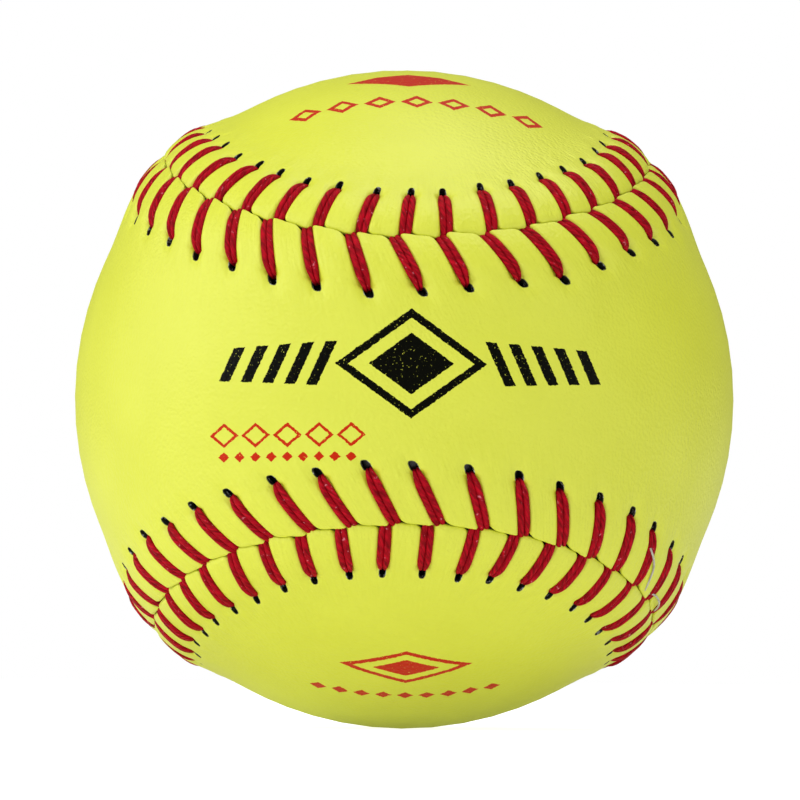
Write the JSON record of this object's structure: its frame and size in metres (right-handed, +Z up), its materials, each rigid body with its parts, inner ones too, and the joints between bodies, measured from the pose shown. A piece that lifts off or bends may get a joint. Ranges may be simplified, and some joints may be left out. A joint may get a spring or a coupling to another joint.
{
  "type": "softball",
  "caption": "Round softball: two waisted leather panels joined edge to edge by raised red V stitching over a solid core.",
  "frame": {"origin": "centre of the ball", "axes": "+Y runs from the middle of panel A's waist through the centre to the middle of panel B's waist; panel A's lobes lie round +X and -X and panel B's lobes round +Z and -Z; +Z is up"},
  "size_m": [0.0968, 0.097, 0.0968],
  "materials": {
    "core_foam": "moulded polyurethane foam, matt",
    "cement": "dried contact cement film",
    "cover_leather": "optic yellow dyed leather, fine pebble grain, satin",
    "lacing_thread": "waxed red plied thread"
  },
  "bodies": {
    "root": {"core": "core_foam", "cement_film": "cement", "cover_panel_a": "cover_leather", "cover_panel_b": "cover_leather", "lacing_thread_one": "lacing_thread", "lacing_thread_two": "lacing_thread"}
  },
  "joints": []
}
